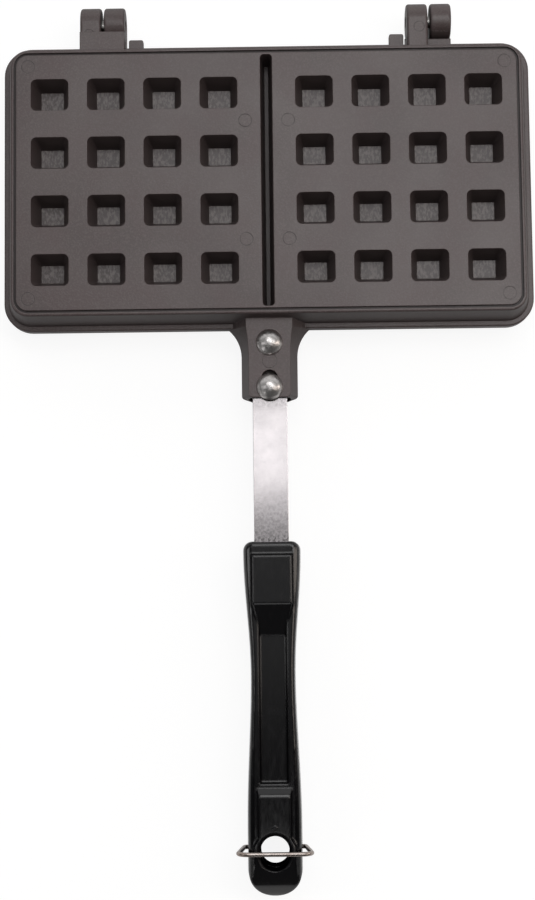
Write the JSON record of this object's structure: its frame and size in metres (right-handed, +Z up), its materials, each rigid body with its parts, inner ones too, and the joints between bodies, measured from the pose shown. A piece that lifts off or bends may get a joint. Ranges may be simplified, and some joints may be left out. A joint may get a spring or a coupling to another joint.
{
  "type": "stovetop waffle iron",
  "caption": "Hinged stovetop waffle iron: two cast pegged plates for a pair of waffles, steel straps, moulded grips and a wire bail that locks them.",
  "frame": {"origin": "the middle of the closed iron's footprint, on the surface it lies on", "axes": "+Z up, +Y along the handle's length towards the hinge, +X to the right seen from the handle"},
  "size_m": [0.2274, 0.3812, 0.032],
  "materials": {
    "nonstick": "satin",
    "strap_steel": "satin",
    "rivet": "polished",
    "grip": "gloss",
    "screw_steel": "satin",
    "pin_steel": "satin",
    "wire": "polished"
  },
  "bodies": {
    "lower_half": {"lower_plate": "nonstick", "lower_strap": "strap_steel", "lower_front_rivet": "rivet", "lower_rear_rivet": "rivet", "lower_grip": "grip", "lower_grip_screw": "screw_steel", "right_hinge_pin": "pin_steel"},
    "upper_half": {"upper_plate": "nonstick", "upper_strap": "strap_steel", "upper_front_rivet": "rivet", "upper_rear_rivet": "rivet", "upper_grip": "grip", "upper_grip_screw": "screw_steel", "left_hinge_pin": "pin_steel"},
    "bail": {"locking_bail": "wire"}
  },
  "joints": [
    {"name": "iron_opening", "type": "hinge", "parent": "lower_half", "child": "upper_half", "pos_m": [0, 0.1828, 0.016], "axis": [-1, 0, 0], "range_deg": [0, 180]},
    {"name": "bail_swing", "type": "hinge", "parent": "lower_half", "child": "bail", "pos_m": [0, -0.17159, 0.0083], "axis": [1, 0, 0], "range_deg": [0, 109]}
  ]
}
